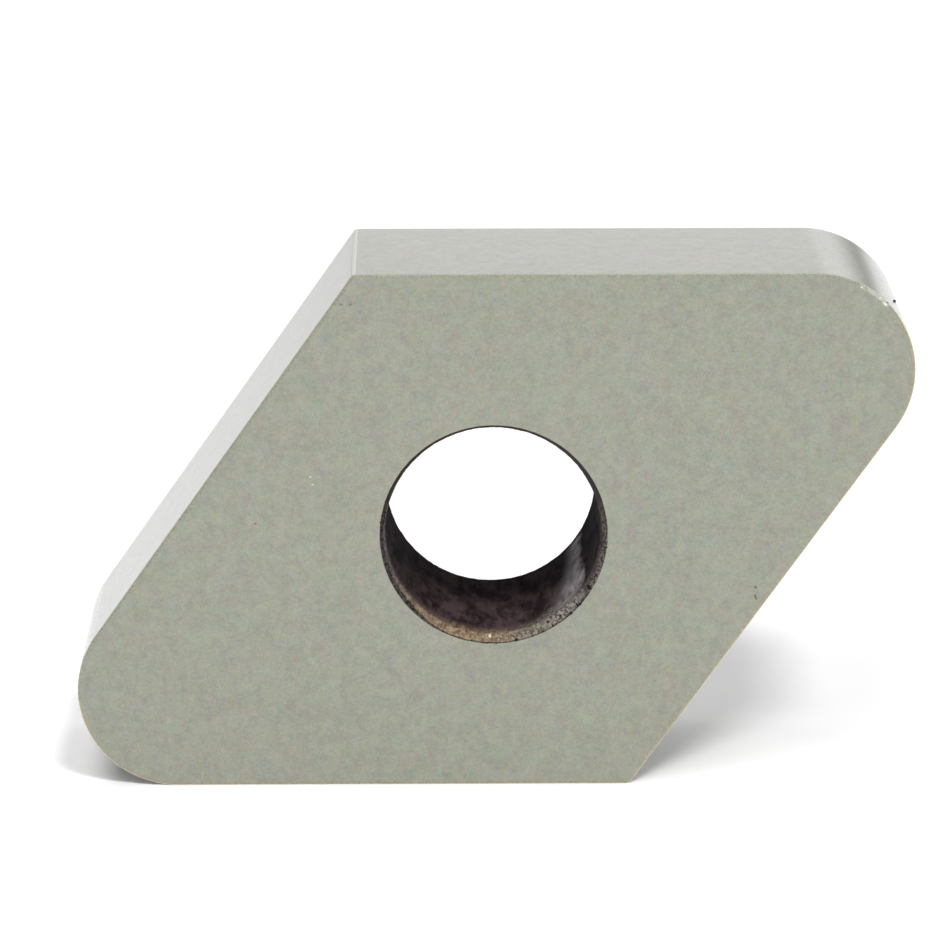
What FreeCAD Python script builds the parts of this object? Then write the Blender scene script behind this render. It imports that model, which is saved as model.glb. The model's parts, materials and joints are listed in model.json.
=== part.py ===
import FreeCAD, Part
import math
import os

# Ceramic turning insert with no clearance angle: a thick rhombic plate, pressed and sintered in one
# piece and ground on its faces and flanks. Its two acute corners are the cutting noses.
# Millimetres. The hole's axis is Y and the front face looks towards -Y. The plate stands on one of
# its flanks, with Z up, and X runs along that flank.
# The origin is the middle of the hole, halfway through the plate.

# Rhombic plate
inscribed_circle = 12.70        # diameter of the circle that touches all four flanks
nose_angle = 55.0               # degrees between the two flanks that meet at a cutting nose
thickness = 4.76                # from the front face to the rear face
nose_radius = 2.40              # the two acute corners
blunt_corner_radius = 0.12      # the two obtuse corners, which only have their edge taken off

# Land ground along the whole cutting edge, on both faces
land_width = 0.08               # how far the land reaches in over the face
land_angle = 20.0               # degrees between the land and the face

# Hole for the holder's lock pin, with its two mouths broken by a steep cone
hole_diameter = 5.16
mouth_width = 0.14              # how much the hole's radius grows at a mouth
mouth_depth = 0.26              # how deep the mouth's cone reaches

# Places that follow from the sizes
half_nose = math.radians(nose_angle) / 2
half_blunt = math.pi / 2 - half_nose
half_thickness = thickness / 2
hole_radius = hole_diameter / 2
land_drop = land_width * math.tan(math.radians(land_angle))

# Distances from the middle to the sharp corners, before they are rounded
nose_reach = inscribed_circle / 2 / math.sin(half_nose)
blunt_reach = inscribed_circle / 2 / math.sin(half_blunt)


def corner(direction, reach, half_angle, radius, inset):
    """Give the start, middle and end of one corner's arc, counter-clockwise, seen from the front.

    direction points from the middle to the sharp corner, and half_angle is half the angle between
    the corner's flanks. An inset outline runs parallel to the finished one, that far inside it.
    """
    arc_centre = reach - radius / math.sin(half_angle)
    turn = math.pi / 2 - half_angle
    arc_radius = radius - inset
    points = []
    for angle in (direction - turn, direction, direction + turn):
        x = arc_centre * math.cos(direction) + arc_radius * math.cos(angle)
        z = arc_centre * math.sin(direction) + arc_radius * math.sin(angle)
        points.append((x, z))
    return points


def outline(inset, y):
    """Make the plate's outline as a closed wire at depth y: four flanks and four arcs."""
    corners = []
    for direction in (half_nose, half_nose + math.pi):
        corners.append(corner(direction, nose_reach, half_nose, nose_radius, inset))
        blunt = direction + math.pi / 2
        corners.append(corner(blunt, blunt_reach, half_blunt, blunt_corner_radius, inset))

    edges = []
    for number, points in enumerate(corners):
        start, middle, end = [FreeCAD.Vector(x, y, z) for x, z in points]
        next_x, next_z = corners[(number + 1) % len(corners)][0]
        edges.append(Part.Arc(start, middle, end).toShape())
        edges.append(Part.LineSegment(end, FreeCAD.Vector(next_x, y, next_z)).toShape())
    return Part.Wire(edges)


def plate():
    """Make the rhombic plate, with a sloping land round both faces."""
    sections = [
        outline(land_width, -half_thickness),
        outline(0, -half_thickness + land_drop),
        outline(0, half_thickness - land_drop),
        outline(land_width, half_thickness),
    ]
    return Part.makeLoft(sections, True, True)


def hole():
    """Make the solid that the hole takes away: its section, turned once round the Y axis."""
    mouth_radius = hole_radius + mouth_width
    cone_foot = half_thickness - mouth_depth
    section = [
        (0, -half_thickness),
        (mouth_radius, -half_thickness),
        (hole_radius, -cone_foot),
        (hole_radius, cone_foot),
        (mouth_radius, half_thickness),
        (0, half_thickness),
        (0, -half_thickness),
    ]
    wire = Part.makePolygon([FreeCAD.Vector(radius, y, 0) for radius, y in section])
    return Part.Face(wire).revolve(FreeCAD.Vector(0, 0, 0), FreeCAD.Vector(0, 1, 0), 360)


def insert():
    """Make the whole insert, which is one solid."""
    return plate().cut(hole())


os.makedirs("parts", exist_ok=True)
insert().exportStep("parts/insert.step")
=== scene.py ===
import json
import math

import bmesh
import bpy
from mathutils import Euler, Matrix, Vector, noise


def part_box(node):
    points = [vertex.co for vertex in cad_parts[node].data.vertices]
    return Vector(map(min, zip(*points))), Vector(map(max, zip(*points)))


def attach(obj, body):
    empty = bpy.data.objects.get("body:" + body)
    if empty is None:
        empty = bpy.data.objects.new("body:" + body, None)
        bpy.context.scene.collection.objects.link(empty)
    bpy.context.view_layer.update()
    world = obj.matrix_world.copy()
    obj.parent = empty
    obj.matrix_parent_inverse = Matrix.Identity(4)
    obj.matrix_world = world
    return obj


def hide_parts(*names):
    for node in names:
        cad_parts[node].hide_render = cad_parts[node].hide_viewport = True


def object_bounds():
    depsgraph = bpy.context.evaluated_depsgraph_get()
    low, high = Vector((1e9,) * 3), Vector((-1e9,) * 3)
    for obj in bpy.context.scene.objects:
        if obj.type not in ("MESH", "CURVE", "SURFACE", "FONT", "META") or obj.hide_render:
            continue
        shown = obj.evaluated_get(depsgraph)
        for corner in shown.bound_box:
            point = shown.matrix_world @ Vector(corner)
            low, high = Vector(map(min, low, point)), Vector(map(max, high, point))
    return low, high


# A ceramic turning insert that stands on one of its flanks. Lengths are in metres: the values
# written in millimetres are multiplied by MM. The hole's axis is Y and the front face looks to -Y.

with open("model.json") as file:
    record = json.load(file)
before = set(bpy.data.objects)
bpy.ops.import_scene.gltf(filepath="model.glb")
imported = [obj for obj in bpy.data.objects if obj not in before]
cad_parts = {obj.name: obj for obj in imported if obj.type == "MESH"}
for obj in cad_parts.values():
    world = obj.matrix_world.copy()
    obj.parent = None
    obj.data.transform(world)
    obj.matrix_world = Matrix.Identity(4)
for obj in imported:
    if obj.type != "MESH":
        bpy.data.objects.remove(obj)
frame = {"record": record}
cad_low, cad_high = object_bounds()

MM = 0.001

# Sizes read from the frame
_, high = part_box("insert")
half_thickness = high.y
inscribed_radius = high.z
mounts = {mount["name"]: mount for mount in frame["record"]["mounts"]}
bore_radius = mounts["pin_hole"]["dims"]["r_mm"] * MM
bore_half_length = mounts["pin_hole"]["dims"]["length_mm"] * MM / 2

# Form of the plate's outline and edges
nose_half_angle = math.radians(55.0) / 2
blunt_half_angle = math.pi / 2 - nose_half_angle
nose_radius = 2.40 * MM
blunt_radius = 0.12 * MM
land_width = 0.08 * MM
land_angle = math.radians(20.0)
hone_radius = 0.020 * MM        # the tiny round between the land and the flank
mouth_width = 0.14 * MM         # how much the hole widens at its mouth
cone_depth = half_thickness - bore_half_length

# How near two vertices are one, and how near a vertex lies in a face's plane
merge_distance = 0.001 * MM
flat_tolerance = 0.0001 * MM

# Fineness of the mesh, for a quarter of the hole and for one corner or flank of the rim. The two
# lists of depths are in millimetres, from the front face and from the cone's foot.
nose_steps = 160
blunt_steps = 6
flank_steps = 36
quarter_steps = 200
face_insets = [0.115 * MM, 0.107 * MM, 0.099 * MM, 0.090 * MM]
land_shares = [1.0, 0.75, 0.5]
hone_steps = 3
flank_depths = [
    0.06, 0.08, 0.10, 0.13, 0.17, 0.22, 0.30, 0.45, 0.70, 1.10,
    1.57, 1.60, 1.63, 1.66, 1.69, 1.72, 1.75, 2.05,
]
mouth_margins = [0.30 * MM, 0.18 * MM, 0.11 * MM, 0.07 * MM]
cone_steps = 10
bore_depths = [0.04, 0.08, 0.13, 0.18, 0.24, 0.32, 0.42, 0.54, 0.70, 0.90, 1.20, 1.60]

# The rubbed streak in the bore starts this far round from +X, towards the floor, and lies below that
streak_angle = math.radians(32.5)
STREAK_TOWARDS = (math.cos(streak_angle), 0.0, -math.sin(streak_angle))
STREAK_ACROSS = (-math.sin(streak_angle), 0.0, -math.cos(streak_angle))

# The pin has worn the hole most this far round from +X
worn_angle = math.radians(94)
WORN_TOWARDS = (math.cos(worn_angle), 0.0, -math.sin(worn_angle))

# Patch of speckled skin inside the front mouth, low on the right, and about how far it reaches
SPECKLED_PATCH = (1.63 * MM, -1.98 * MM, -2.00 * MM)
patch_reach = 0.55 * MM

# Edges whose outward side looks right or down get painted light, a lighter and warmer colour: towards
# the right flank, and down
LIT_EDGE_TOWARDS = (math.sin(2 * nose_half_angle), 0.0, -math.cos(2 * nose_half_angle))

# Name of the mesh attribute that says how deep the hole's skin is pitted
PIT_ATTRIBUTE = "pit"

# Material numbers on the insert's faces
LAPPED, GROUND, LAND, MOUTH, BORE, FRACTURE, SPECK = range(7)


# Outline of the plate

def outline_corners():
    """List the four corners, counter-clockwise from the upper right nose, seen from the front.

    Each corner is its arc's centre, its radius, the angle where the arc starts and how far it turns.
    """
    corners = []
    for direction in (nose_half_angle, nose_half_angle + math.pi):
        for angle, half_angle, radius in (
            (direction, nose_half_angle, nose_radius),
            (direction + math.pi / 2, blunt_half_angle, blunt_radius),
        ):
            reach = (inscribed_radius - radius) / math.sin(half_angle)
            centre = Vector((reach * math.cos(angle), 0, reach * math.sin(angle)))
            turn = math.pi - 2 * half_angle
            corners.append((centre, radius, angle - turn / 2, turn))
    return corners


def rim_section():
    """List the rim from the front face to the middle of the flank, as (inset, depth) pairs.

    The inset is the distance in from the outline, and the depth is the distance behind the front
    face. The rim runs over the face's border, the land, the hone and the flank.
    """
    slope = math.tan(land_angle)
    points = [(inset, 0.0) for inset in face_insets]
    points += [(land_width * share, land_width * (1 - share) * slope) for share in land_shares]
    hone_centre = (land_width - hone_radius) * slope + hone_radius / math.cos(land_angle)
    for step in range(hone_steps + 1):
        angle = land_angle + (math.pi / 2 - land_angle) * step / hone_steps
        inset = hone_radius * (1 - math.sin(angle))
        points.append((inset, hone_centre - hone_radius * math.cos(angle)))
    points += [(0.0, depth * MM) for depth in flank_depths]
    points.append((0.0, half_thickness))
    return points


def hole_section():
    """List the hole's wall from the front face to the middle of the bore, as (radius, depth) pairs."""
    points = [(bore_radius + mouth_width + margin, 0.0) for margin in mouth_margins]
    for row in range(cone_steps + 1):
        share = row / cone_steps
        points.append((bore_radius + mouth_width * (1 - share), cone_depth * share))
    points += [(bore_radius, cone_depth + depth * MM) for depth in bore_depths]
    points.append((bore_radius, half_thickness))
    return points


def chain(bm, points):
    """Add a line of vertices joined by edges, and return them all."""
    verts = [bm.verts.new(point) for point in points]
    edges = [bm.edges.new(pair) for pair in zip(verts, verts[1:])]
    return verts + edges


def sweep_rim(bm):
    """Carry the rim's section round a nose, along a flank, round a blunt corner and along a flank."""
    corners = outline_corners()
    centre, radius, start, turn = corners[0]
    outward = Vector((math.cos(start), 0, math.sin(start)))
    moving = chain(bm, [
        centre + outward * (radius - inset) + Vector((0, depth - half_thickness, 0))
        for inset, depth in rim_section()
    ])
    for number in (0, 1):
        centre, radius, start, turn = corners[number]
        steps = nose_steps if radius == nose_radius else blunt_steps
        spun = bmesh.ops.spin(bm, geom=moving, cent=centre, axis=(0, -1, 0), angle=turn, steps=steps)
        arc_end = centre + radius * Vector((math.cos(start + turn), 0, math.sin(start + turn)))
        next_centre, next_radius, next_start, next_turn = corners[number + 1]
        next_point = next_centre + next_radius * Vector((math.cos(next_start), 0, math.sin(next_start)))
        step = (next_point - arc_end) / flank_steps
        swept = bmesh.ops.spin(
            bm, geom=spun["geom_last"], axis=(0, -1, 0), dvec=step, steps=flank_steps
        )
        moving = swept["geom_last"]


def turn_hole(bm):
    """Turn the hole's section through a quarter, and repeat that quarter. The mesh starts empty."""
    points = [Vector((radius, depth - half_thickness, 0)) for radius, depth in hole_section()]
    section = chain(bm, points)
    bmesh.ops.spin(bm, geom=section, axis=(0, -1, 0), angle=math.pi / 2, steps=quarter_steps)
    quarter = bm.verts[:] + bm.edges[:] + bm.faces[:]
    bmesh.ops.spin(bm, geom=quarter, axis=(0, -1, 0), angle=math.pi / 2, steps=1, use_duplicate=True)


def complete_plate(bm):
    """Repeat what is made by half a turn, mirror it to the rear, and close the two faces."""
    geometry = bm.verts[:] + bm.edges[:] + bm.faces[:]
    bmesh.ops.spin(bm, geom=geometry, axis=(0, 1, 0), angle=math.pi, steps=1, use_duplicate=True)
    geometry = bm.verts[:] + bm.edges[:] + bm.faces[:]
    bmesh.ops.mirror(bm, geom=geometry, axis="Y", merge_dist=merge_distance)
    bmesh.ops.remove_doubles(bm, verts=bm.verts[:], dist=merge_distance)
    for side in (-1, 1):
        border = [
            edge for edge in bm.edges
            if edge.is_boundary
            and all(vert.co.y * side > half_thickness - flat_tolerance for vert in edge.verts)
        ]
        bmesh.ops.triangle_fill(bm, use_beauty=True, edges=border, normal=(0, side, 0))


# Wear and pits

nose_centre = outline_corners()[0][0]

# Chips on the front edge of the upper right nose: degrees clockwise from straight up, how far the
# scooping ball's centre lies out from the edge and in front of the face, and the ball's radius
nose_chips = [
    (27.2, -0.058 * MM, 0.032 * MM, 0.042 * MM),
    (27.9, -0.060 * MM, 0.032 * MM, 0.040 * MM),
    (33.0, 0.026 * MM, 0.026 * MM, 0.046 * MM),
    (36.5, 0.024 * MM, 0.024 * MM, 0.042 * MM),
    (40.2, -0.030 * MM, 0.026 * MM, 0.052 * MM),
    (43.9, -0.060 * MM, 0.024 * MM, 0.050 * MM),
    (44.9, -0.056 * MM, 0.024 * MM, 0.046 * MM),
]

# The mesh is finer by the chips, between these degrees, this far in from the edge and this deep,
# and by the speck, this far round and along from it
chipped_from, chipped_to = 24, 50
chipped_inset, chipped_depth = 0.108 * MM, 0.14 * MM
beside_speck_degrees, beside_speck = 2.2, 0.10 * MM

# Black speck that stands on the nose's flank: degrees clockwise from straight up, depth behind the
# front face, radius and height
speck_degrees, speck_depth, speck_radius, speck_height = 57.0, 1.66 * MM, 0.040 * MM, 0.055 * MM

# Between the chips the edge is worn paler, and it is stained beside the first one; beside the last one
# painted shade darkens a crack
NOSE_AXIS = tuple(nose_centre)
WORN_CENTRE = (9.032 * MM, -2.37 * MM, 5.867 * MM)
STAIN = [((8.770 * MM, -2.370 * MM, 5.985 * MM), (0.036 * MM, 0.10 * MM, 0.050 * MM))]
SHADED_CRACK = [((9.270 * MM, -2.370 * MM, 5.642 * MM), (0.044 * MM, 0.10 * MM, 0.020 * MM))]

# Direction of the blunt corners, and how far out they reach
BLUNT_TOWARDS = (-math.sin(nose_half_angle), 0.0, math.cos(nose_half_angle))
blunt_reach = (inscribed_radius - blunt_radius) / math.cos(nose_half_angle) + blunt_radius

# Small marks, each as the place of its middle and its three half-lengths
FACE_PITS = [
    ((6.283 * MM, -2.38 * MM, -1.372 * MM), (0.036 * MM, 0.10 * MM, 0.036 * MM)),
    ((6.280 * MM, -2.38 * MM, -1.590 * MM), (0.030 * MM, 0.10 * MM, 0.040 * MM)),
    ((6.300 * MM, -2.38 * MM, -1.640 * MM), (0.030 * MM, 0.10 * MM, 0.036 * MM)),
    ((-5.660 * MM, -2.38 * MM, 0.270 * MM), (0.030 * MM, 0.10 * MM, 0.024 * MM)),
    ((-3.358 * MM, -2.38 * MM, 5.639 * MM), (0.034 * MM, 0.10 * MM, 0.024 * MM)),
    ((-3.580 * MM, -2.38 * MM, 5.640 * MM), (0.030 * MM, 0.10 * MM, 0.020 * MM)),
]
FACE_GLINTS = [
    ((-4.293 * MM, -2.38 * MM, 1.233 * MM), (0.030 * MM, 0.10 * MM, 0.024 * MM)),
    ((-4.340 * MM, -2.38 * MM, 1.420 * MM), (0.026 * MM, 0.10 * MM, 0.026 * MM)),
]
MOUTH_GLINTS = [
    ((-0.069 * MM, -2.210 * MM, -2.627 * MM), (0.032 * MM, 0.085 * MM, 0.045 * MM)),
    ((-0.660 * MM, -2.050 * MM, -2.495 * MM), (0.020 * MM, 0.050 * MM, 0.030 * MM)),
]

# Pits in the hole's pressed skin: degrees round from +X, depth behind the front face, and radius
mouth_pits = [
    (-31.0, 0.120 * MM, 0.060 * MM),
    (-40.4, 0.026 * MM, 0.045 * MM),
    (-47.0, 0.024 * MM, 0.045 * MM),
    (-48.4, 0.810 * MM, 0.060 * MM),
    (-52.5, 0.146 * MM, 0.026 * MM),
    (-58.3, 0.051 * MM, 0.026 * MM),
    (-60.0, 0.200 * MM, 0.030 * MM),
    (-78.0, 0.050 * MM, 0.038 * MM),
    (-88.5, 0.020 * MM, 0.024 * MM),
    (-93.0, 0.020 * MM, 0.026 * MM),
    (-135.0, 0.090 * MM, 0.040 * MM),
    (-139.5, 0.100 * MM, 0.045 * MM),
    (-156.0, 0.120 * MM, 0.035 * MM),
    (-171.5, 0.110 * MM, 0.035 * MM),
    (179.0, 0.130 * MM, 0.055 * MM),
]
pit_depth = 0.035 * MM

# The skin's waves: their height and size, and how far in from the mouth the skin is rough
ring_waviness = 0.010 * MM
wave_size = 0.16 * MM
rough_reach = 0.9 * MM

# How far the front mouth's edge lies off the bore's axis
mouth_offset = Vector((0.014 * MM, 0, -0.040 * MM))

# How much the hole is narrower above, just behind that mouth: this lip is full from the first depth
# on, and ends at the second after it has faded over the third
crown_lip = 0.024 * MM
lip_full, lip_end, lip_fade = 0.14 * MM, 1.2 * MM, 0.8 * MM


def nose_direction(degrees):
    """Give the direction out of the nose, that many degrees clockwise from straight up."""
    angle = math.radians(90 - degrees)
    return Vector((math.cos(angle), 0, math.sin(angle)))


def refine_nose(bm):
    """Divide the mesh more finely where the nose is chipped and where the speck stands."""
    def in_zone(vert):
        away = vert.co - nose_centre
        degrees = math.degrees(math.atan2(away.x, away.z))
        depth = vert.co.y + half_thickness
        if math.hypot(away.x, away.z) < nose_radius - chipped_inset:
            return False
        chipped = chipped_from < degrees < chipped_to and depth < chipped_depth
        at_speck = abs(degrees - speck_degrees) < beside_speck_degrees
        return chipped or (at_speck and abs(depth - speck_depth) < beside_speck)

    edges = [edge for edge in bm.edges if all(in_zone(vert) for vert in edge.verts)]
    bmesh.ops.subdivide_edges(bm, edges=edges, cuts=1, use_grid_fill=True)


def chip_centres():
    """Give each chip's centre and radius."""
    centres = []
    for degrees, outwards, forwards, radius in nose_chips:
        centre = nose_centre + nose_direction(degrees) * (nose_radius + outwards)
        centre.y = -half_thickness - forwards
        centres.append((centre, radius))
    return centres


def knock_chips(bm):
    """Scoop each chip out of the edge, and mark its faces as fractured."""
    for centre, radius in chip_centres():
        moved = set()
        for vert in bm.verts:
            away = vert.co - centre
            if away.length < radius:
                roughness = 1 + 0.12 * noise.noise(vert.co / (0.03 * MM))
                vert.co = centre + away.normalized() * radius * roughness
                vert.co.y = max(vert.co.y, -half_thickness)
                moved.add(vert)
        for face in {face for vert in moved for face in vert.link_faces}:
            if sum(vert in moved for vert in face.verts) > 1:
                face.material_index = FRACTURE


def raise_speck(bm):
    """Pull a few vertices out of the flank for the speck that stands on it, and mark its faces."""
    outward = nose_direction(speck_degrees)
    foot = nose_centre + outward * nose_radius
    foot.y = speck_depth - half_thickness
    raised = set()
    for vert in bm.verts:
        away = (vert.co - foot).length / speck_radius
        if away < 1:
            vert.co += outward * speck_height * (1 - away ** 2)
            raised.add(vert)
    for face in {face for vert in raised for face in vert.link_faces}:
        face.material_index = SPECK


def pit_at(co):
    """Say how deep the hole's skin is pitted there, from 0 to 1: the named pits and scattered ones."""
    depth = co.y + half_thickness
    bearing = math.degrees(math.atan2(co.z, co.x))
    deepest = 0.0
    for degrees, pit_depth_place, radius in mouth_pits:
        along = math.radians((bearing - degrees + 180) % 360 - 180) * bore_radius
        away = math.hypot(along / radius, (depth - pit_depth_place) / (1.5 * radius))
        if away < 2:
            ragged = 0.6 * noise.noise(co / (0.03 * MM))
            deepest = max(deepest, min(1.0, max(0.0, 2.2 * (1 - away + ragged))))
    stretched = Vector((co.x, 0.6 * co.y, co.z))
    scattered = noise.noise(stretched / (0.065 * MM)) + 0.5 * noise.noise(stretched / (0.028 * MM))
    crowded = noise.noise(co / (0.7 * MM))
    return max(deepest, min(1.0, max(0.0, 4.0 * (scattered + 0.5 * crowded - 0.62))))


def pit_mouths(bm):
    """Roughen the hole's two mouths, note the pits on the mesh, and set the front mouth off the axis."""
    pits = bm.verts.layers.float.new(PIT_ATTRIBUTE)
    for vert in bm.verts:
        co = vert.co.copy()
        radius = math.hypot(co.x, co.z)
        depth = half_thickness - abs(co.y)
        if radius > bore_radius + mouth_width + 0.5 * mouth_margins[-1]:
            continue
        outward = Vector((co.x, 0, co.z)).normalized()
        fade = max(0.0, 1 - depth / rough_reach)
        waves = ring_waviness * noise.noise(co / wave_size) * (0.25 + 0.75 * fade)
        pit = pit_at(co) * max(fade, 0.6 if co.y < 0 else 0.0)
        vert[pits] = pit
        at_face = depth < merge_distance
        shift = 0.0
        if co.y < 0:
            lip = min(1.0, depth / lip_full) * min(1.0, max(0.0, (lip_end - depth) / lip_fade))
            shift = mouth_offset.dot(outward) * max(0.0, 1 - depth / cone_depth)
            shift -= crown_lip * lip * max(0.0, outward.z) * (1 - 0.35 * outward.x)
        vert.co = co + outward * (shift + (waves + pit * pit_depth) * (0.4 if at_face else 1.0))


def mark_surfaces(bm):
    """Give each face the number of the finish that it carries."""
    mouth_radius = bore_radius + mouth_width
    for face in bm.faces:
        middle = face.calc_center_median()
        radius = math.hypot(middle.x, middle.z)
        depth = half_thickness - abs(middle.y)
        if radius < mouth_radius and abs(middle.y) < bore_half_length:
            face.material_index = BORE
        elif radius < mouth_radius:
            face.material_index = MOUTH
        elif depth < flat_tolerance:
            face.material_index = LAPPED
        elif depth < land_width * math.tan(land_angle) + hone_radius:
            face.material_index = LAND
        else:
            face.material_index = GROUND


def build_insert():
    """Model the insert as one closed piece."""
    bm = bmesh.new()
    turn_hole(bm)
    sweep_rim(bm)
    complete_plate(bm)
    refine_nose(bm)
    mark_surfaces(bm)
    pit_mouths(bm)
    knock_chips(bm)
    raise_speck(bm)
    bmesh.ops.recalc_face_normals(bm, faces=bm.faces[:])
    for face in bm.faces:
        face.smooth = True
    mesh = bpy.data.meshes.new("insert_ceramic")
    bm.to_mesh(mesh)
    bm.free()
    mesh.set_sharp_from_angle(angle=math.radians(19))
    piece = bpy.data.objects.new("insert_ceramic", mesh)
    bpy.context.scene.collection.objects.link(piece)
    return piece


# Node helpers

def new_material(name):
    """Start a material: return it with its node tree and its shader."""
    material = bpy.data.materials.new(name)
    material.use_nodes = True
    tree = material.node_tree
    return material, tree, tree.nodes["Principled BSDF"]


def feed(tree, socket, value):
    """Give a socket its value: another node's socket, or a number, vector or colour."""
    if isinstance(value, bpy.types.NodeSocket):
        tree.links.new(value, socket)
    else:
        socket.default_value = value


def math_node(tree, operation, first, second=0.0):
    node = tree.nodes.new("ShaderNodeMath")
    node.operation = operation
    feed(tree, node.inputs[0], first)
    feed(tree, node.inputs[1], second)
    return node.outputs[0]


def product(tree, first, *others):
    """Multiply values, each a socket or a number."""
    for other in others:
        first = math_node(tree, "MULTIPLY", first, other)
    return first


def unevenness(tree, pattern, amount):
    """Turn a pattern from 0 to 1 into a value up to half that amount to either side of 0."""
    return product(tree, math_node(tree, "SUBTRACT", pattern, 0.5), amount)


def vector_node(tree, operation, first, second):
    node = tree.nodes.new("ShaderNodeVectorMath")
    node.operation = operation
    feed(tree, node.inputs[0], first)
    feed(tree, node.inputs["Scale"] if operation == "SCALE" else node.inputs[1], second)
    return node.outputs["Value" if operation in ("DOT_PRODUCT", "DISTANCE") else "Vector"]


def split_axes(tree, vector):
    """Split a vector into its X, Y and Z."""
    node = tree.nodes.new("ShaderNodeSeparateXYZ")
    tree.links.new(vector, node.inputs[0])
    return node.outputs


def depth_in(tree, axes):
    """Give the depth below the nearer of the two faces."""
    return math_node(tree, "SUBTRACT", half_thickness, math_node(tree, "ABSOLUTE", axes["Y"]))


def ramp(tree, value, start, end, low_value=0.0, high_value=1.0):
    """Map a value that runs from start to end onto low_value to high_value, and stop there."""
    node = tree.nodes.new("ShaderNodeMapRange")
    node.interpolation_type = "SMOOTHSTEP"
    feed(tree, node.inputs["Value"], value)
    limits = {"From Min": start, "From Max": end, "To Min": low_value, "To Max": high_value}
    for name, number in limits.items():
        node.inputs[name].default_value = number
    return node.outputs["Result"]


def noise_value(tree, position, size, detail=2.0, roughness=0.5, seed=0.0):
    """Give noise from 0 to 1 whose largest blobs have about that size."""
    node = tree.nodes.new("ShaderNodeTexNoise")
    node.noise_dimensions = "4D"
    node.inputs["W"].default_value = seed
    node.inputs["Scale"].default_value = 1 / size
    node.inputs["Detail"].default_value = detail
    node.inputs["Roughness"].default_value = roughness
    tree.links.new(position, node.inputs["Vector"])
    return node.outputs["Fac"]


def blend_colour(tree, factor, first, second):
    """Mix two colours, each a socket or three numbers."""
    node = tree.nodes.new("ShaderNodeMix")
    node.data_type = "RGBA"
    feed(tree, node.inputs[0], factor)
    for socket, value in ((node.inputs[6], first), (node.inputs[7], second)):
        feed(tree, socket, (*value, 1.0) if isinstance(value, tuple) else value)
    return node.outputs[2]


def bump(tree, height, distance):
    """Turn a height from 0 to 1, over that distance, into a normal."""
    node = tree.nodes.new("ShaderNodeBump")
    node.inputs["Distance"].default_value = distance
    tree.links.new(height, node.inputs["Height"])
    return node.outputs["Normal"]


def object_position(tree):
    return tree.nodes.new("ShaderNodeTexCoord").outputs["Object"]


def new_group(name, inputs, outputs):
    """Start a node group: return its tree, its input node and its output node."""
    tree = bpy.data.node_groups.new(name, "ShaderNodeTree")
    for socket, kind in inputs:
        tree.interface.new_socket(socket, in_out="INPUT", socket_type=kind)
    for socket, kind in outputs:
        tree.interface.new_socket(socket, in_out="OUTPUT", socket_type=kind)
    return tree, tree.nodes.new("NodeGroupInput"), tree.nodes.new("NodeGroupOutput")


def place_group(tree, group, **values):
    """Put a group in a material, with its inputs given by name."""
    node = tree.nodes.new("ShaderNodeGroup")
    node.node_tree = group
    for name, value in values.items():
        feed(tree, node.inputs[name], value)
    return node.outputs


# Finishes that several materials share

def make_body_colour():
    """Group: the sintered body's colour, with soft mottling in light and tint, and fine grain."""
    group, given, result = new_group(
        "body_colour",
        [("Position", "NodeSocketVector"), ("Colour", "NodeSocketColor"),
         ("Mottle", "NodeSocketFloat")],
        [("Colour", "NodeSocketColor"), ("Grain", "NodeSocketFloat")],
    )
    position = given.outputs["Position"]
    grain = noise_value(group, position, 0.045 * MM, detail=1.0, seed=4.0)
    patterns = (
        (noise_value(group, position, 0.30 * MM, 3.0, 1.0, seed=1.0), (0.74, 0.74, 0.74)),
        (noise_value(group, position, 0.28 * MM, 3.0, 1.0, seed=2.0), (-0.23, 0.36, -0.23)),
        (noise_value(group, position, 0.29 * MM, 3.0, 1.0, seed=3.0), (0.42, 0.00, -0.42)),
        (grain, (0.38, 0.38, 0.38)),
    )
    tone = (1.0, 1.0, 1.0)
    for pattern, weights in patterns:
        offset = unevenness(group, pattern, given.outputs["Mottle"])
        tone = vector_node(group, "ADD", vector_node(group, "SCALE", weights, offset), tone)
    colour = vector_node(group, "MULTIPLY", given.outputs["Colour"], tone)
    group.links.new(colour, result.inputs["Colour"])
    group.links.new(grain, result.inputs["Grain"])
    return group


def make_grinding_lines():
    """Group: fine lines that run through the thickness."""
    group, given, result = new_group(
        "grinding_lines",
        [("Position", "NodeSocketVector")],
        [("Height", "NodeSocketFloat")],
    )
    squeezed = vector_node(group, "MULTIPLY", given.outputs["Position"], (1.0, 0.015, 1.0))
    lines = noise_value(group, squeezed, 0.12 * MM, detail=2.0, roughness=0.7)
    group.links.new(lines, result.inputs["Height"])
    return group


body_colour = make_body_colour()
grinding_lines = make_grinding_lines()

# The sintered body's own colour, on its lapped faces and on its ground flanks, then the lands' colour
# and a lighter, warmer copy of it that paints light on the lands' edges facing right and down
FACE_COLOUR = (0.330, 0.341, 0.274, 1.0)
FLANK_COLOUR = (0.396, 0.398, 0.356, 1.0)
LAND_COLOUR = (0.325, 0.335, 0.255, 1.0)
LIT_LAND_COLOUR = (0.382, 0.350, 0.250, 1.0)


def marks(tree, position, places):
    """Give a mask of small ragged marks, each the place of its middle and its three half-lengths."""
    pattern = noise_value(tree, position, 0.05 * MM, detail=1.0, seed=9.0)
    ragged = unevenness(tree, pattern, 1.0)
    mask = 0.0
    for middle, halves in places:
        shrink = tuple(1 / half for half in halves)
        shrunk = vector_node(tree, "MULTIPLY", position, shrink)
        away = vector_node(tree, "DISTANCE", shrunk, tuple(m * s for m, s in zip(middle, shrink)))
        mark = ramp(tree, math_node(tree, "ADD", away, ragged), 1.4, 0.5)
        mask = math_node(tree, "MAXIMUM", mask, mark)
    return mask


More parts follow.
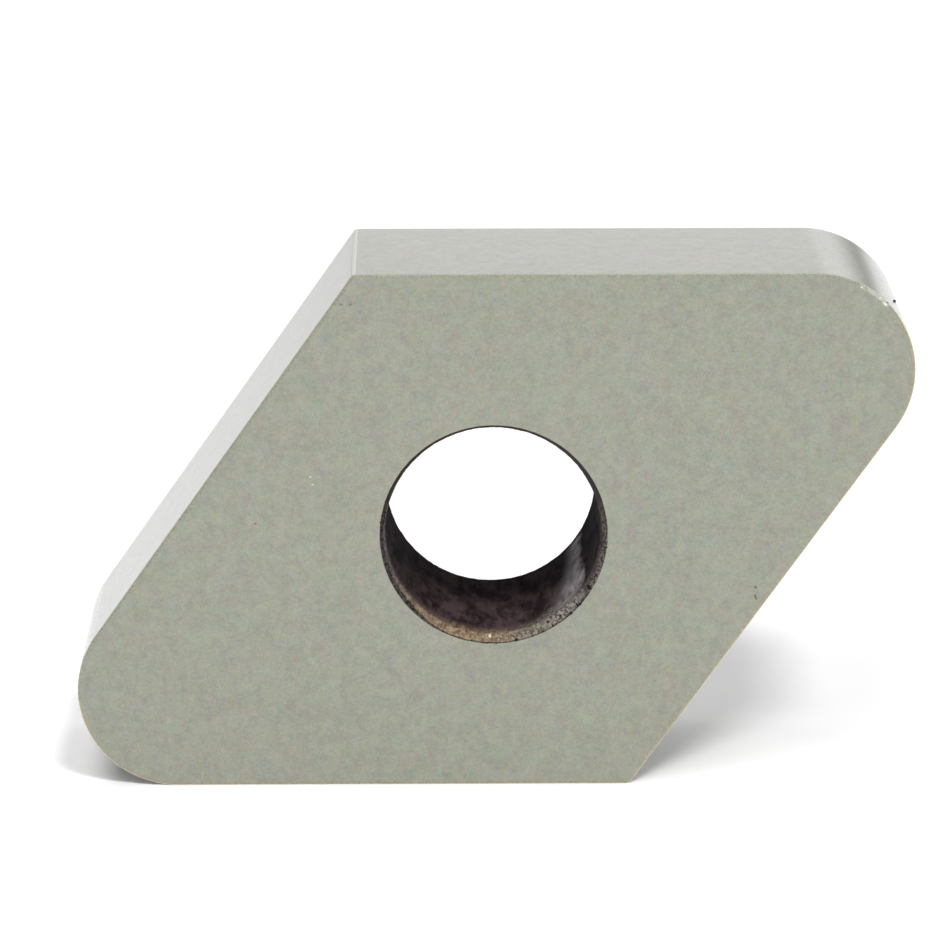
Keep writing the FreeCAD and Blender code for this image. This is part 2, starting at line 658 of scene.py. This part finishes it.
def worn_edge(tree, position):
    """Give a mask of the edge between the nose's chips, with a ragged inner border and ragged ends."""
    speckle = noise_value(tree, position, 0.12 * MM, detail=2.0, roughness=0.7, seed=6.0)
    away = vector_node(tree, "DISTANCE", position, WORN_CENTRE)
    ragged = math_node(tree, "ADD", away, product(tree, speckle, 0.35 * MM))
    along = ramp(tree, ragged, 0.70 * MM, 0.46 * MM)
    flat = vector_node(tree, "MULTIPLY", position, (1.0, 0.0, 1.0))
    radius = vector_node(tree, "DISTANCE", flat, NOSE_AXIS)
    inward = math_node(tree, "ADD", radius, product(tree, speckle, 0.10 * MM))
    at_edge = ramp(tree, inward, nose_radius - 0.065 * MM, nose_radius - 0.015 * MM)
    return product(tree, along, at_edge)


def lapped_face():
    """Front and rear face: dull, even and faintly mottled, with a few small pits and glints."""
    material, tree, shader = new_material("lapped_face")
    position = object_position(tree)
    body = place_group(tree, body_colour, Position=position, Colour=FACE_COLOUR, Mottle=1.0)
    colour = blend_colour(tree, worn_edge(tree, position), body["Colour"], (0.52, 0.53, 0.47))
    colour = blend_colour(tree, marks(tree, position, FACE_PITS), colour, (0.13, 0.135, 0.10))
    colour = blend_colour(tree, marks(tree, position, FACE_GLINTS), colour, (0.62, 0.62, 0.55))
    colour = blend_colour(tree, marks(tree, position, STAIN), colour, (0.37, 0.335, 0.25))
    tree.links.new(colour, shader.inputs["Base Color"])
    tree.links.new(ramp(tree, body["Grain"], 0.3, 0.7, 0.50, 0.60), shader.inputs["Roughness"])
    tree.links.new(bump(tree, body["Grain"], 0.0015 * MM), shader.inputs["Normal"])
    shader.inputs["IOR"].default_value = 1.60
    return material


def ground_flank():
    """Flanks: fine ground, with faint lines through the thickness, and dull at the blunt corners, where
    painted sheen also makes them paler.
    """
    material, tree, shader = new_material("ground_flank")
    position = object_position(tree)
    body = place_group(tree, body_colour, Position=position, Colour=FLANK_COLOUR, Mottle=0.6)
    height = place_group(tree, grinding_lines, Position=position)["Height"]
    along_blunt = vector_node(tree, "DOT_PRODUCT", position, BLUNT_TOWARDS)
    towards_blunt = math_node(tree, "ABSOLUTE", along_blunt)
    # Painted sheen: near the blunt corners the flank turns paler, as well as duller
    rubbed = ramp(tree, towards_blunt, blunt_reach - 0.020 * MM, blunt_reach - 0.010 * MM)
    colour = blend_colour(tree, rubbed, body["Colour"], (0.62, 0.62, 0.57))
    ground = ramp(tree, height, 0.3, 0.7, 0.155, 0.170)
    dulled = product(tree, rubbed, 0.35)
    tree.links.new(colour, shader.inputs["Base Color"])
    tree.links.new(math_node(tree, "ADD", ground, dulled), shader.inputs["Roughness"])
    tree.links.new(bump(tree, height, 0.00002 * MM), shader.inputs["Normal"])
    shader.inputs["IOR"].default_value = 1.80
    return material


def cutting_land():
    """Lands: finer than the faces, dark above and at the left; elsewhere painted light makes them
    lighter and warmer, with a painted highlight along a pale rim.
    """
    material, tree, shader = new_material("cutting_land")
    position = object_position(tree)
    body = place_group(tree, body_colour, Position=position, Colour=LAND_COLOUR, Mottle=0.6)
    lit_land_body = place_group(tree, body_colour, Position=position, Colour=LIT_LAND_COLOUR, Mottle=0.6)
    axes = split_axes(tree, position)
    depth = depth_in(tree, axes)
    # Painted light: edges facing right and down take a lighter, warmer copy of the land, and a pale
    # painted highlight on their outer rim
    rightward = vector_node(tree, "DOT_PRODUCT", position, LIT_EDGE_TOWARDS)
    downward = ramp(tree, axes["Z"], -4.0 * MM, -4.6 * MM)
    lit_edge_side = math_node(tree, "MAXIMUM", ramp(tree, rightward, 4.4 * MM, 5.0 * MM), downward)
    rim = ramp(tree, depth, 0.018 * MM, 0.030 * MM)
    lit_edge_and_highlight = blend_colour(tree, rim, lit_land_body["Colour"], (0.92, 0.85, 0.60))
    colour = blend_colour(tree, lit_edge_side, body["Colour"], lit_edge_and_highlight)
    colour = blend_colour(tree, worn_edge(tree, position), colour, (0.50, 0.51, 0.44))
    colour = blend_colour(tree, marks(tree, position, STAIN), colour, (0.40, 0.36, 0.27))
    # Painted shade of the last chip, over a crack beside it
    colour = blend_colour(tree, marks(tree, position, SHADED_CRACK), colour, (0.10, 0.09, 0.075))
    tree.links.new(colour, shader.inputs["Base Color"])
    tree.links.new(ramp(tree, body["Grain"], 0.3, 0.7, 0.24, 0.32), shader.inputs["Roughness"])
    shader.inputs["IOR"].default_value = 1.60
    return material


def make_hole_skin():
    """Group: the skin of the hole's wall, dark within and worn tan at the mouths where the pin bears."""
    group, given, result = new_group(
        "hole_skin",
        [("Position", "NodeSocketVector")],
        [("Colour", "NodeSocketColor"), ("Speckle", "NodeSocketFloat"), ("Depth", "NodeSocketFloat"),
         ("Worn", "NodeSocketFloat")],
    )
    position = given.outputs["Position"]
    axes = split_axes(group, position)
    depth = depth_in(group, axes)
    worn = product(group, vector_node(group, "DOT_PRODUCT", position, WORN_TOWARDS), 1 / bore_radius)

    # Noise drawn out along the hole, and finer noise that isn't
    drawn = vector_node(group, "MULTIPLY", position, (1.0, 0.35, 1.0))
    mottle = noise_value(group, drawn, 0.45 * MM, detail=3.0, roughness=0.7)
    grain = noise_value(group, drawn, 0.10 * MM, detail=2.0, roughness=0.8, seed=2.0)
    speckle = noise_value(group, position, 0.075 * MM, detail=2.0, roughness=0.8)
    fine = ramp(group, product(group, math_node(group, "ADD", grain, speckle), 0.5), 0.38, 0.62)

    # Deep skin: brown to purple, and nearly black towards the middle of the bore and on the left
    patches = ramp(group, mottle, 0.36, 0.64)
    deep = blend_colour(group, patches, (0.017, 0.010, 0.012), (0.078, 0.052, 0.056))
    behind = math_node(group, "ADD", axes["Y"], half_thickness)
    inner = ramp(group, behind, 0.5 * MM, 3.8 * MM, 1.2, 0.5)
    left = ramp(group, axes["X"], -0.9 * bore_radius, -0.3 * bore_radius, 0.65, 1.0)
    right = ramp(group, axes["X"], 0.70 * bore_radius, 0.85 * bore_radius, 1.0, 0.55)
    colour = vector_node(group, "SCALE", deep, product(group, inner, left, right))

    # Skin by the mouths: brown at the sides, tan at the lower left and olive grey at the lower right
    side_skin = blend_colour(group, fine, (0.055, 0.046, 0.045), (0.165, 0.142, 0.138))
    tan_skin = blend_colour(group, fine, (0.106, 0.069, 0.042), (0.306, 0.232, 0.152))
    olive_skin = blend_colour(group, fine, (0.066, 0.058, 0.046), (0.266, 0.244, 0.195))
    rightward = ramp(group, axes["X"], -0.3 * MM, 1.3 * MM)
    worn_skin = blend_colour(group, rightward, tan_skin, olive_skin)
    mouth_skin = blend_colour(group, ramp(group, worn, 0.38, 0.92), side_skin, worn_skin)
    rearward = ramp(group, axes["Y"], -1.0 * MM, 1.0 * MM, 0.0, 0.40 * MM)
    far_right = ramp(group, axes["X"], 0.75 * bore_radius, 0.90 * bore_radius, 0.0, 0.30 * MM)
    edge = depth
    for shift in (unevenness(group, mottle, 1.0 * MM), rearward, far_right):
        edge = math_node(group, "ADD", edge, shift)
    near_mouth = ramp(group, edge, 0.78 * MM, 0.10 * MM)
    colour = blend_colour(group, near_mouth, colour, mouth_skin)

    # The speckled patch reaches further in
    away = vector_node(group, "DISTANCE", position, SPECKLED_PATCH)
    ragged = unevenness(group, mottle, 2.5)
    patch = ramp(group, math_node(group, "ADD", product(group, away, 1 / patch_reach), ragged), 1.3, 0.4)
    specks = ramp(group, speckle, 0.40, 0.60)
    patch_skin = blend_colour(group, specks, (0.055, 0.047, 0.045), (0.290, 0.262, 0.232))
    colour = blend_colour(group, patch, colour, patch_skin)

    group.links.new(colour, result.inputs["Colour"])
    group.links.new(speckle, result.inputs["Speckle"])
    group.links.new(depth, result.inputs["Depth"])
    group.links.new(worn, result.inputs["Worn"])
    return group


hole_skin = make_hole_skin()


def pit_mask(tree):
    """Read how deep the skin is pitted, which pit_mouths() wrote on the mesh."""
    attribute = tree.nodes.new("ShaderNodeAttribute")
    attribute.attribute_name = PIT_ATTRIBUTE
    return ramp(tree, attribute.outputs["Fac"], 0.1, 0.6, 0.0, 0.92)


def pressed_mouth():
    """Cone at the hole's mouths: the hole's skin under a dark outer band, which is widest above."""
    material, tree, shader = new_material("pressed_mouth")
    position = object_position(tree)
    skin = place_group(tree, hole_skin, Position=position)
    colour = vector_node(tree, "SCALE", skin["Colour"], 1.25)
    colour = blend_colour(tree, marks(tree, position, MOUTH_GLINTS), colour, (0.80, 0.70, 0.50))

    patches = noise_value(tree, position, 0.20 * MM, detail=2.0, roughness=0.7, seed=5.0)
    axes = split_axes(tree, position)
    band = math_node(
        tree, "ADD",
        ramp(tree, axes["X"], -2.35 * MM, -1.0 * MM, 0.165 * MM, 0.034 * MM),
        ramp(tree, axes["X"], 1.95 * MM, 2.40 * MM, 0.0, 0.11 * MM),
    )
    upper_band = ramp(tree, axes["Z"], -0.9 * MM, 0.2 * MM, 0.0, 0.20 * MM)
    band = math_node(tree, "MAXIMUM", band, upper_band)
    stretch = math_node(tree, "ADD", product(tree, patches, 1.6), 0.2)
    past = math_node(tree, "SUBTRACT", product(tree, skin["Depth"], stretch), band)
    dark = ramp(tree, past, -0.02 * MM, 0.02 * MM, 1.0, 0.0)
    contrast = ramp(tree, skin["Speckle"], 0.36, 0.64)
    crust = blend_colour(tree, contrast, (0.014, 0.011, 0.010), (0.110, 0.095, 0.082))
    paler = ramp(tree, axes["X"], 1.9 * MM, 2.5 * MM, 1.0, 2.2)
    crust = vector_node(tree, "SCALE", crust, paler)
    rightward = ramp(tree, axes["X"], 0.5 * MM, 1.8 * MM)
    upper_crust = blend_colour(tree, rightward, (0.056, 0.038, 0.024), (0.060, 0.049, 0.050))
    crust = blend_colour(tree, ramp(tree, axes["Z"], 0.0, 1.2 * MM), crust, upper_crust)
    colour = blend_colour(tree, dark, colour, crust)
    colour = blend_colour(tree, pit_mask(tree), colour, (0.012, 0.010, 0.008))
    tree.links.new(colour, shader.inputs["Base Color"])
    tree.links.new(bump(tree, skin["Speckle"], 0.006 * MM), shader.inputs["Normal"])
    shader.inputs["Roughness"].default_value = 0.8
    shader.inputs["IOR"].default_value = 1.40
    shader.inputs["Specular IOR Level"].default_value = 0.25
    return material


def sintered_bore():
    """Bore wall: the hole's skin, with a rubbed streak low on the right that narrows to the rear."""
    material, tree, shader = new_material("sintered_bore")
    position = object_position(tree)
    skin = place_group(tree, hole_skin, Position=position)
    drawn = vector_node(tree, "MULTIPLY", position, (1.0, 0.5, 1.0))
    mottle = noise_value(tree, drawn, 0.35 * MM, detail=3.0, roughness=0.7, seed=7.0)

    across = vector_node(tree, "DOT_PRODUCT", position, STREAK_ACROSS)
    towards = vector_node(tree, "DOT_PRODUCT", position, STREAK_TOWARDS)
    axes = split_axes(tree, position)
    width = ramp(tree, axes["Y"], -2.0 * MM, 2.0 * MM, 1.12 * MM, 0.56 * MM)
    place = math_node(tree, "ADD", across, unevenness(tree, mottle, 0.45 * MM))
    streak = product(
        tree,
        ramp(tree, place, -0.16 * MM, 0.12 * MM),
        ramp(tree, towards, 0.0, bore_radius),
        ramp(tree, math_node(tree, "DIVIDE", place, width), 1.05, 0.25),
        ramp(tree, skin["Depth"], 0.30 * MM, 0.65 * MM),
    )
    patches = ramp(tree, mottle, 0.35, 0.65)
    rubbed = blend_colour(tree, patches, (0.180, 0.162, 0.172), (0.450, 0.415, 0.430))
    colour = blend_colour(tree, streak, skin["Colour"], rubbed)

    # Thin painted highlight where the cone meets the bore, on the side walls
    past_foot = math_node(tree, "SUBTRACT", skin["Depth"], cone_depth + 0.01 * MM)
    highlight_line = ramp(tree, math_node(tree, "ABSOLUTE", past_foot), 0.030 * MM, 0.008 * MM)
    cone_foot_highlight = product(tree, highlight_line, ramp(tree, skin["Worn"], 0.7, 0.3, 0.0, 0.5))
    colour = blend_colour(tree, cone_foot_highlight, colour, (0.20, 0.155, 0.140))
    colour = blend_colour(tree, pit_mask(tree), colour, (0.008, 0.006, 0.006))
    tree.links.new(colour, shader.inputs["Base Color"])
    tree.links.new(bump(tree, skin["Speckle"], 0.006 * MM), shader.inputs["Normal"])
    shader.inputs["Roughness"].default_value = 0.8
    shader.inputs["IOR"].default_value = 1.33
    shader.inputs["Specular IOR Level"].default_value = 0.04
    return material


def black_speck():
    """Speck on the nose's flank: dull black."""
    material, tree, shader = new_material("black_speck")
    grain = noise_value(tree, object_position(tree), 0.03 * MM, detail=1.0)
    patches = ramp(tree, grain, 0.35, 0.65)
    colour = blend_colour(tree, patches, (0.006, 0.006, 0.007), (0.022, 0.020, 0.022))
    tree.links.new(colour, shader.inputs["Base Color"])
    shader.inputs["Roughness"].default_value = 0.9
    shader.inputs["Specular IOR Level"].default_value = 0.1
    return material


def fresh_fracture():
    """Broken surface inside the chips: paler, rough and glittering."""
    material, tree, shader = new_material("fresh_fracture")
    grain = noise_value(tree, object_position(tree), 0.03 * MM, detail=2.0, roughness=0.7)
    facets = ramp(tree, grain, 0.35, 0.65)
    colour = blend_colour(tree, facets, (0.55, 0.53, 0.46), (0.95, 0.94, 0.88))
    tree.links.new(colour, shader.inputs["Base Color"])
    tree.links.new(bump(tree, grain, 0.006 * MM), shader.inputs["Normal"])
    shader.inputs["Roughness"].default_value = 0.35
    shader.inputs["IOR"].default_value = 1.60
    return material


# Floor, world, lamps and camera

# Half the floor's width in metres, and how much it glows where the camera or a reflection sees it
floor_half_width = 1.5
floor_glow = 0.075

# The strip behind the insert, in degrees above the horizon: its foot, where it is fully bright,
# where it starts to end and where it ends
strip_heights = (1.5, 10.5, 14.0, 15.0)

def build_floor():
    """Lay a white floor, which looks white to the camera and in reflections and keeps the shadow."""
    bm = bmesh.new()
    bmesh.ops.create_grid(bm, x_segments=1, y_segments=1, size=floor_half_width)
    bmesh.ops.translate(bm, verts=bm.verts[:], vec=(0, 0, cad_low.z))
    mesh = bpy.data.meshes.new("floor")
    bm.to_mesh(mesh)
    bm.free()
    floor = bpy.data.objects.new("floor", mesh)
    bpy.context.scene.collection.objects.link(floor)

    material, tree, shader = new_material("white_floor")
    shader.inputs["Base Color"].default_value = (0.92, 0.92, 0.925, 1.0)
    shader.inputs["Roughness"].default_value = 0.9
    shader.inputs["Specular IOR Level"].default_value = 0.0
    path = tree.nodes.new("ShaderNodeLightPath")
    seen = math_node(tree, "MAXIMUM", path.outputs["Is Camera Ray"], path.outputs["Is Glossy Ray"])
    seen = math_node(tree, "MAXIMUM", seen, path.outputs["Is Transmission Ray"])
    shader.inputs["Emission Color"].default_value = (1.0, 1.0, 1.0, 1.0)
    tree.links.new(product(tree, seen, floor_glow), shader.inputs["Emission Strength"])
    mesh.materials.append(material)


def build_world():
    """Surround the scene with dim light, and set a bright strip low behind the insert."""
    world = bpy.data.worlds.new("studio")
    bpy.context.scene.world = world
    world.use_nodes = True
    tree = world.node_tree
    background = tree.nodes["Background"]
    direction = tree.nodes.new("ShaderNodeTexCoord").outputs["Generated"]
    axes = split_axes(tree, direction)
    foot, full, top, end = (math.sin(math.radians(height)) for height in strip_heights)
    strip = product(
        tree,
        ramp(tree, axes["Z"], foot, full),
        ramp(tree, axes["Z"], top, end, 1.0, 0.0),
        ramp(tree, axes["Y"], 0.0, 0.1),
    )
    colour = blend_colour(tree, strip, (0.030, 0.029, 0.032), (1.075, 1.075, 1.085))
    tree.links.new(colour, background.inputs["Color"])


def add_lamp(name, azimuth, elevation, distance, width, level):
    """Add a round lamp that faces the insert. At level 1 it alone lights a white card to white."""
    lamp = bpy.data.lights.new(name, "AREA")
    lamp.shape = "DISK"
    lamp.size = width
    lamp.energy = level * (math.pi * distance) ** 2
    holder = bpy.data.objects.new(name, lamp)
    turn, rise = math.radians(azimuth), math.radians(elevation)
    away = Vector((math.sin(turn) * math.cos(rise), -math.cos(turn) * math.cos(rise), math.sin(rise)))
    holder.location = away * distance
    holder.rotation_euler = away.to_track_quat("Z", "Y").to_euler()
    bpy.context.scene.collection.objects.link(holder)


def build_lamps():
    add_lamp("key", 22, 55, 0.50, 0.10, 0.55)
    add_lamp("front", -22, 56, 0.50, 0.25, 0.37)
    add_lamp("left", -90, 74, 0.50, 0.25, 0.20)
    add_lamp("right", 110, 25, 0.50, 0.25, 0.215)
    add_lamp("rear", 180, 60, 0.50, 0.50, 0.275)


def build_camera():
    """Look down on the insert from the front, as the photograph does."""
    camera = bpy.data.cameras.new("camera")
    camera.sensor_width = 36.0
    camera.lens = 176.9
    camera.clip_start = 0.005
    camera.clip_end = 5.0
    holder = bpy.data.objects.new("camera", camera)
    holder.location = Vector((-1.624, -108.813, 32.571)) * MM
    tilt_down, heading = math.radians(16.295), math.radians(0.642)
    holder.rotation_euler = Euler((math.pi / 2 - tilt_down, 0, -heading))
    bpy.context.scene.collection.objects.link(holder)
    bpy.context.scene.camera = holder


def main():
    insert = build_insert()
    for material in (
        lapped_face(),
        ground_flank(),
        cutting_land(),
        pressed_mouth(),
        sintered_bore(),
        fresh_fracture(),
        black_speck(),
    ):
        insert.data.materials.append(material)
    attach(insert, "root")
    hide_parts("insert")

    build_floor()
    build_world()
    build_lamps()
    build_camera()
    bpy.context.scene.view_settings.view_transform = "Standard"


main()
